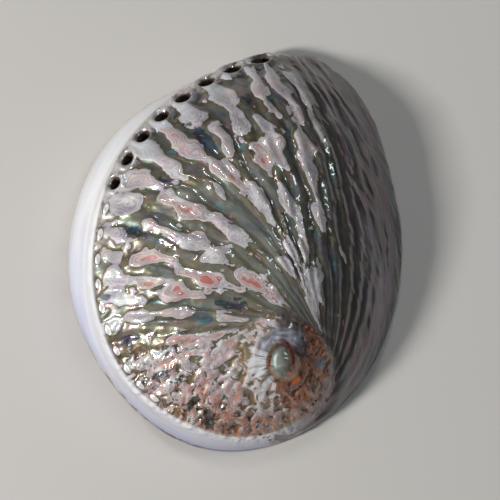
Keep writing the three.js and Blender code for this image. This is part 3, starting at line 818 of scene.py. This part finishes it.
def polished_shell():
    """The outside, worn down through its layers and polished, and the walls of the open pores."""
    material, tree, surface = new_material("polished_shell")
    names = (*GROWN, "pore", "pore_open", "from_apex", "share", "turn", "plan_x", "plan_y")
    (growth, reach, across, keel, suture, island, redness, dark, blue, pore, pore_open, from_apex, share,
     turn, plan_x, plan_y) = (read(tree, name) for name in names)

    blend = partial(blend_colour, tree)

    level = pale_layer(growth, reach, island, plan_x, plan_y)
    newest = fade(growth, 2.5, 7.0)
    warm = smooth(growth, 22.0, 30.0) * smooth(across, 0.35, 0.9)

    # Older nacre between the islands: olive beside them, grey to steel blue away from them.
    hue = noise(vector(growth / 1.6, reach / 16.0, 1.0), 2.0, 0.5, 0.5)
    deep = ramp(tree, hue, [(0.34, paint(88, 98, 112)), (0.43, paint(110, 119, 122)),
                            (0.5, paint(136, 134, 128)), (0.57, paint(100, 104, 112)),
                            (0.66, paint(136, 122, 114))])
    olive = ramp(tree, hue, [(0.35, paint(112, 112, 100)), (0.5, paint(124, 115, 94)),
                             (0.65, paint(112, 98, 78))])
    base = blend(deep, olive, smooth(level, -0.75, -0.2))
    shade = wander(growth, reach, 4.4, (1.2, 14.0), 3.0)
    base = blend(base, paint(46, 50, 50), smooth(shade, 0.2, 0.95) * 0.7)
    base = blend(base, paint(166, 168, 170), smooth(-shade, 0.2, 0.8) * 0.7)
    middle_years = smooth(wander(growth, reach, 41.0, (1.5, 12.0), 2.0), -0.6, 0.4)
    middle_years = smooth(growth, 10.0, 14.0) * middle_years
    base = blend(base, paint(150, 141, 118), middle_years * 0.35)
    # Darker brown towards the newest growth: partly its own colour, partly painted shade on the side away
    # from the light.
    base = blend(base, paint(76, 58, 52), fade(growth, 6.0, 13.0) * 0.5)
    # Painted shade: the valleys of the growth folds, which the relief also carries, are darkened.
    valley_shade = fade(growth_folds(growth, reach), -0.9, 0.2)
    base = blend(base, paint(52, 48, 38), valley_shade * 0.5)
    # Painted glints: thin teal, green and purple lines standing in for the nacre's coloured reflections.
    painted_glint_field = wander(growth, reach, 12.0, (0.55, 9.0), 3.0)
    base = blend(base, paint(64, 146, 156), line(painted_glint_field, 0.5, 0.12) * 0.5)
    base = blend(base, paint(96, 150, 96), line(painted_glint_field, 0.68, 0.08) * 0.4)
    base = blend(base, paint(150, 84, 150), line(painted_glint_field, -0.52, 0.10) * 0.45)
    base = blend(base, paint(88, 70, 40), smooth(level, -0.16, -0.03) * 0.75)

    # The pale islands, with nested lines and some red cores.
    cloud = noise(vector(growth / 0.8, reach / 6.0, 2.0), 3.0)
    pale = ramp(tree, cloud, [(0.36, paint(160, 152, 160)), (0.5, paint(192, 184, 188)),
                              (0.64, paint(214, 208, 210))])
    layers = sin(level * 21.0 + wander(growth, reach, 27.0, (0.7, 6.0), 2.0) * 4.0)
    pale = blend(pale, paint(156, 146, 144), smooth(layers, 0.5, 1.0) * 0.4)
    pale = blend(pale, paint(224, 224, 228), smooth(-layers, 0.4, 1.0) * 0.45)
    by_keel = smooth(keel, -16.0, -6.0) * fade(growth, 12.0, 16.0)
    keel_tone = blend(paint(214, 218, 226), paint(186, 186, 184), smooth(cloud, 0.44, 0.56))
    pale = blend(pale, keel_tone, by_keel * 0.7)
    pink = smooth(level, 0.2, 0.6) * redness
    pale = blend(pale, paint(206, 174, 166), pink * 0.35)
    red_line = (line(level, 0.36, 0.06) + line(level, 0.56, 0.06) * 0.9 + smooth(level, 0.74, 0.86)) * redness
    pale = blend(pale, paint(190, 82, 62), least(red_line, 1.0) * smooth(cloud, 0.4, 0.52) * 0.8)
    colour = blend(base, pale, smooth(level, -0.03, 0.025))

    # The newest growth at the lip is dark and brown, partly its own colour and partly painted shade on this
    # side of the shell, with long soft streaks, thin lines and a few painted glints.
    streak = wander(growth, reach, 14.0, (2.0, 36.0), 2.5)
    lip_colour_and_shade = ramp(tree, streak * 0.5 + 0.5, [(0.15, paint(34, 31, 27)), (0.34, paint(60, 51, 47)),
                                               (0.46, paint(92, 76, 74)), (0.58, paint(66, 60, 66)),
                                               (0.72, paint(128, 116, 122))])
    colour = blend(colour, lip_colour_and_shade, newest * 0.9)
    smoky = smooth(wander(growth, reach, 43.0, (2.6, 24.0), 2.0), 0.05, 0.6)
    colour = blend(colour, paint(136, 126, 136), smoky * newest * 0.5)
    thin = wander(growth, reach, 18.0, (0.35, 60.0), 2.0)
    colour = blend(colour, paint(36, 30, 24), line(thin, 0.3, 0.07) * newest * 0.7)
    # Painted glints: thin magenta and teal lines.
    colour = blend(colour, paint(136, 66, 110), line(thin, -0.42, 0.07) * newest * 0.7)
    colour = blend(colour, paint(66, 136, 150), line(thin, -0.62, 0.06) * newest * 0.6)
    # Painted reflected light: a pinkish-brown strip along the lip's very edge.
    colour = blend(colour, paint(122, 98, 94), fade(growth, -3.0, 0.5) * 0.6)

    # Orange-brown near the old end of the keel, with dark specks, and dark glassy places with painted glints.
    grains = noise(vector(plan_x / 1.9, plan_y / 1.9, 6.0), 3.0, 0.55, 0.6)
    blush = smooth(noise(vector(plan_x / 5.0, plan_y / 5.0, 21.0), 2.0), 0.46, 0.56)
    crumbly = smooth(growth, 20.0, 23.0) * fade(keel, -1.0, 0.5)
    colour = blend(colour, paint(198, 140, 128), smooth(level, 0.1, 0.4) * blush * crumbly * 0.55)
    colour = blend(colour, paint(150, 118, 84), smooth(-level, 0.1, 0.5) * crumbly * 0.5)
    colour = blend(colour, paint(168, 100, 62), warm * smooth(grains, 0.42, 0.54) * 0.85)
    specks = smooth(-grains, -0.42, -0.38) * smooth(growth, 19.0, 26.0) * smooth(across, 0.4, 0.75)
    colour = blend(colour, paint(52, 44, 46), specks * 0.85)
    fray = noise(vector(plan_x / 3.2, plan_y / 3.2, 33.0), 3.0, 0.5, 1.0) - 0.5
    glassy = smooth(dark + fray * 2.0, 0.5, 0.75)
    blueing = blue * smooth(wander(growth, reach, 35.0, (0.4, 4.0), 2.0), -0.5, 0.5)
    dark_tone_with_glints = blend(paint(30, 28, 26), paint(60, 74, 108), blueing)
    # Painted glints: pale grey-cyan flecks in the dark glassy places.
    dark_tone_with_glints = blend(dark_tone_with_glints, paint(150, 160, 160), smooth(dark * 0.4 + fray, 0.5, 0.6) * 0.6)
    colour = blend(colour, dark_tone_with_glints, glassy * 0.85)

    # The smooth band outside the keel.
    smear = wander(growth, keel, 21.0, (6.0, 5.0), 2.0)
    band_tone = ramp(tree, smear * 0.5 + 0.5, [(0.2, paint(228, 228, 236)), (0.5, paint(248, 248, 250)),
                                               (0.8, paint(236, 232, 226))])
    threads = noise(vector(growth / 7.0, keel / 1.1, 51.0), 3.0, 0.6)
    band_tone = blend(band_tone, paint(220, 220, 230), smooth(threads, 0.5, 0.62) * 0.45)
    bluish = smooth(growth + smear * 3.0, 15.0, 22.0) * smooth(keel + smear * 3.0, 1.0, 11.0)
    band_tone = blend(band_tone, paint(156, 164, 212), bluish * 0.75)
    lavender = smooth(growth, 20.0, 27.0) * smooth(keel, -1.0, 9.0)
    band_tone = blend(band_tone, paint(146, 146, 178), lavender * 0.6)
    slate_line = smooth(growth, 24.0, 27.0) * line(share, 0.965, 0.02)
    band_tone = blend(band_tone, paint(64, 70, 116), slate_line * 0.6)
    band_tone = blend(band_tone, paint(132, 108, 100), smooth(growth, 31.0, 36.0))
    rim_part = share + (threads - 0.5) * 0.12
    margin = smooth(rim_part, 0.84, 0.95) * fade(growth, 13.0, 18.0) * smooth(growth, 4.0, 9.0)
    band_tone = blend(band_tone, paint(158, 146, 120), margin * 0.75)
    chips = smooth(noise(vector(turn * 12.0, share * 30.0, 2.0), 2.0), 0.47, 0.52) * smooth(share, 0.93, 0.95)
    chipped = chips * smooth(growth, 16.0, 18.0) * fade(growth, 28.0, 29.0) * smooth(-plan_x, 0.0, 8.0)
    band_tone = blend(band_tone, paint(74, 70, 58), chipped * 0.9)
    band_start = mix(3.6, 0.9, smooth(growth, 13.0, 17.0))
    near_band = smooth(keel - band_start, -9.0, -2.0) * fade(growth, 15.0, 20.0) * smooth(growth, 7.0, 9.0)
    near_band = near_band * smooth(wander(growth, keel, 19.0, (0.5, 4.0), 2.0) + pore * 0.14, -0.1, 0.35)
    near_tone = blend(paint(206, 200, 200), paint(178, 160, 156), smooth(cloud, 0.45, 0.6))
    colour = blend(colour, near_tone, near_band)
    colour = blend(colour, band_tone, smooth(keel - band_start, -0.3, 1.0))
    brown_edge = smooth(growth, 26.0, 30.0) * fade(growth, 36.0, 37.0) * smooth(from_apex, 16.5, 19.0)
    colour = blend(colour, paint(168, 116, 76), line(keel, 1.2, 0.9) * brown_edge * 0.8)
    in_seam = fade(absolute(suture), 0.7, 1.3) * smooth(from_apex, 14.5, 17.0)
    colour = blend(colour, paint(112, 95, 92), in_seam)
    colour = spire_colour(colour, olive, flake_pattern(plan_x, plan_y), plan_x, plan_y, from_apex, tree)

    # Pores: dark walls when open, their own dark layer with painted shade, white beads with a dark outline
    # when closed.
    bead = (1.0 - pore_open) * smooth(growth, 15.0, 16.0)
    colour = blend(colour, paint(236, 232, 232), fade(pore, 0.85, 1.0) * bead)
    colour = blend(colour, paint(96, 76, 60), line(pore, 1.15, 0.25) * bead * 0.7)
    patchy = wander(growth, keel, 45.0, (0.5, 3.0), 2.0)
    collar = line(pore + patchy * 0.8, 1.6, 0.5) * pore_open * smooth(patchy, -0.4, 0.3)
    colour = blend(colour, paint(214, 212, 214), collar * smooth(growth, 6.0, 10.0) * 0.7)
    # The open pores' walls: dark brown, partly the outer layer's own colour and partly painted shade inside
    # the holes.
    colour = blend(colour, paint(92, 66, 52), fade(pore, 1.04, 1.2) * pore_open * 0.85)

    feed(tree, surface.inputs["Base Color"], colour)
    film = wander(growth, reach, 30.0, (0.7, 8.0), 1.0)
    feed(tree, surface.inputs["Thin Film Thickness"], film * 160.0 + 420.0)
    surface.inputs["Thin Film IOR"].default_value = 1.6
    in_island = smooth(level, -0.1, 0.05)
    feed(tree, surface.inputs["Roughness"], mix(0.38, 0.48, in_island))
    on_pattern = fade(keel - band_start, -1.0, 1.0)
    feed(tree, surface.inputs["Metallic"], mix(0.32, 0.08, in_island) * on_pattern)
    surface.inputs["Coat Weight"].default_value = 1.0
    surface.inputs["Coat Roughness"].default_value = 0.05
    surface.inputs["Coat IOR"].default_value = 1.55
    fine = noise(vector(growth / 0.22, reach / 2.4, 17.0), 2.0)
    bump = add_node(tree, "ShaderNodeBump",
                    {"Height": fine * fade(keel, -0.5, 1.5), "Strength": 0.35, "Distance": 0.0004})
    tree.links.new(bump.outputs[0], surface.inputs["Normal"])
    return material


def inner_nacre():
    """The silvery inside, with the muscle's scar."""
    material, tree, surface = new_material("inner_nacre")
    names = ("growth", "reach", "share", "plan_x", "plan_y")
    growth, reach, share, x, y = (read(tree, name) for name in names)

    blend = partial(blend_colour, tree)

    swirl = noise(vector(x / 24.0, y / 24.0, 2.0), 4.0, 0.55, 1.8)
    colour = ramp(tree, swirl, [(0.34, paint(142, 186, 168)), (0.43, paint(208, 204, 206)),
                                (0.5, paint(156, 180, 206)), (0.56, paint(216, 184, 198)),
                                (0.65, paint(176, 204, 164))])
    ripples = noise(vector(growth / 0.6, reach / 30.0, 5.0), 3.0)
    colour = blend(colour, paint(226, 226, 230), smooth(ripples, 0.42, 0.62) * 0.6)
    mottle = noise(vector(x / 2.5, y / 2.5, 9.0), 3.0)
    scar = muscle_scar(x, y)
    on_scar = fade(scar, 0.94, 1.0)
    scar_tone = blend(paint(168, 184, 166), paint(206, 190, 198), smooth(mottle, 0.44, 0.56))
    colour = blend(colour, scar_tone, on_scar * 0.7)
    colour = blend(colour, paint(112, 128, 116), line(scar, 1.0, 0.05) * 0.6)
    colour = blend(colour, paint(150, 132, 118), smooth(share, 0.975, 1.0) * 0.7)
    feed(tree, surface.inputs["Base Color"], colour)
    feed(tree, surface.inputs["Thin Film Thickness"], swirl * 700.0 + 150.0)
    surface.inputs["Thin Film IOR"].default_value = 1.6
    surface.inputs["Roughness"].default_value = 0.3
    surface.inputs["Metallic"].default_value = 0.4
    surface.inputs["Coat Weight"].default_value = 1.0
    surface.inputs["Coat Roughness"].default_value = 0.1
    height = ripples * 0.4 + mottle * on_scar
    bump = add_node(tree, "ShaderNodeBump", {"Height": height, "Strength": 0.4, "Distance": 0.0005})
    tree.links.new(bump.outputs[0], surface.inputs["Normal"])
    return material


def floor_finish():
    material, _tree, surface = new_material("studio_floor")
    surface.inputs["Base Color"].default_value = (0.66, 0.63, 0.60, 1)
    surface.inputs["Roughness"].default_value = 0.85
    return material


# ---------------------------------------------------------------- the shell

def mark_outer_faces(mesh):
    """Marks the faces whose corners all lie on the outside."""
    sheet = np.empty(len(mesh.vertices), np.float32)
    mesh.attributes["sheet"].data.foreach_get("value", sheet)
    starts = np.empty(len(mesh.polygons), np.int32)
    mesh.polygons.foreach_get("loop_start", starts)
    corners = np.empty(len(mesh.loops), np.int32)
    mesh.loops.foreach_get("vertex_index", corners)
    outer = np.maximum.reduceat(sheet[corners], starts) < 0.5
    mesh.attributes.new("outer_face", "FLOAT", "FACE").data.foreach_set("value", outer.astype(np.float32))


def rim_middle():
    """The middle of the outline's box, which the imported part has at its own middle."""
    turns = np.linspace(0, 2 * math.pi, RIM_SAMPLES)
    rim = rim_radius(turns)
    xs, ys = CROWN[0] + rim * np.cos(turns), CROWN[1] + rim * np.sin(turns)
    return (xs.min() + xs.max()) / 2, (ys.min() + ys.max()) / 2


def grow_shell():
    """Runs the node tree on the flat pattern and keeps the result as a plain mesh, in metres."""
    pattern = flat_pattern()
    mark_outer_faces(pattern.data)
    guides = {"Growth guide": growth_sheet(), "Pore guide": pore_points()}
    low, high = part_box("shell")
    middle = (low + high) / (2 * MM)
    x, y = rim_middle()
    shift = (x - middle.x, y - middle.y, 0.0)

    tree = shell_tree(polished_shell(), inner_nacre())
    modifier = pattern.modifiers.new("growth", "NODES")
    modifier.node_group = tree
    sockets = {item.name: item.identifier for item in tree.interface.items_tree if item.in_out == "INPUT"}
    for name, guide in guides.items():
        modifier[sockets[name]] = guide
    modifier[sockets["Shift"]] = shift
    depsgraph = bpy.context.evaluated_depsgraph_get()
    grown = bpy.data.meshes.new_from_object(pattern.evaluated_get(depsgraph), depsgraph=depsgraph)
    for thing in (pattern, *guides.values()):
        bpy.data.objects.remove(thing)
    grown.name = "shell_wall"
    grown.shade_smooth()
    grown.set_sharp_from_angle(angle=SHARP_FROM)
    shell = bpy.data.objects.new("shell_wall", grown)
    bpy.context.scene.collection.objects.link(shell)
    return shell


shell = grow_shell()
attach(shell, "root")
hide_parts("shell")

# ---------------------------------------------------------------- floor, light and camera

# Lengths in metres from here on.
FLOOR_REACH = 3
CAMERA_LENS = 116
CAMERA_SENSOR = 36
CAMERA_DISTANCE = 0.6
CAMERA_ELEVATION = math.radians(79)
CAMERA_TARGET = Vector((0.00585, -0.0028, 0.015))

floor_mesh = bpy.data.meshes.new("floor")
floor_corners = [(x * FLOOR_REACH, y * FLOOR_REACH, 0) for x, y in ((-1, -1), (1, -1), (1, 1), (-1, 1))]
floor_mesh.from_pydata(floor_corners, [], [(0, 1, 2, 3)])
floor = bpy.data.objects.new("floor", floor_mesh)
floor_mesh.materials.append(floor_finish())
bpy.context.scene.collection.objects.link(floor)


def area_light(name, place, size, power, colour=(1, 1, 1), aim=(0, 0, 0.015)):
    """A window of light, its face turned to the shell."""
    data = bpy.data.lights.new(name, "AREA")
    data.shape = "RECTANGLE"
    data.size, data.size_y = size
    data.energy = power
    data.color = colour
    light = bpy.data.objects.new(name, data)
    light.location = place
    light.rotation_euler = (Vector(aim) - Vector(place)).to_track_quat("-Z", "Y").to_euler()
    bpy.context.scene.collection.objects.link(light)


area_light("window", (-1.05, -0.38, 0.82), (0.2, 0.24), 15.6, (1.0, 0.985, 0.965))
area_light("second_window", (-0.35, 0.75, 1.25), (0.08, 0.3), 3.0)
area_light("right_window", (0.7, 0.4, 1.3), (0.1, 0.5), 2.6, (0.82, 0.97, 1.0))
area_light("ceiling", (0.1, -0.6, 1.7), (1.5, 1.5), 0.9, (0.92, 0.95, 1.0))

world = bpy.data.worlds.new("studio")
world.use_nodes = True
world.node_tree.nodes["Background"].inputs["Color"].default_value = (0.8, 0.82, 0.85, 1)
world.node_tree.nodes["Background"].inputs["Strength"].default_value = 0.07
bpy.context.scene.world = world
bpy.context.scene.view_settings.view_transform = "Standard"

camera_data = bpy.data.cameras.new("camera")
camera_data.lens = CAMERA_LENS
camera_data.sensor_width = CAMERA_SENSOR
camera = bpy.data.objects.new("camera", camera_data)
away = Vector((0, -math.cos(CAMERA_ELEVATION), math.sin(CAMERA_ELEVATION)))
camera.location = CAMERA_TARGET + CAMERA_DISTANCE * away
camera.rotation_euler = (CAMERA_TARGET - camera.location).to_track_quat("-Z", "Y").to_euler()
bpy.context.scene.collection.objects.link(camera)
bpy.context.scene.camera = camera
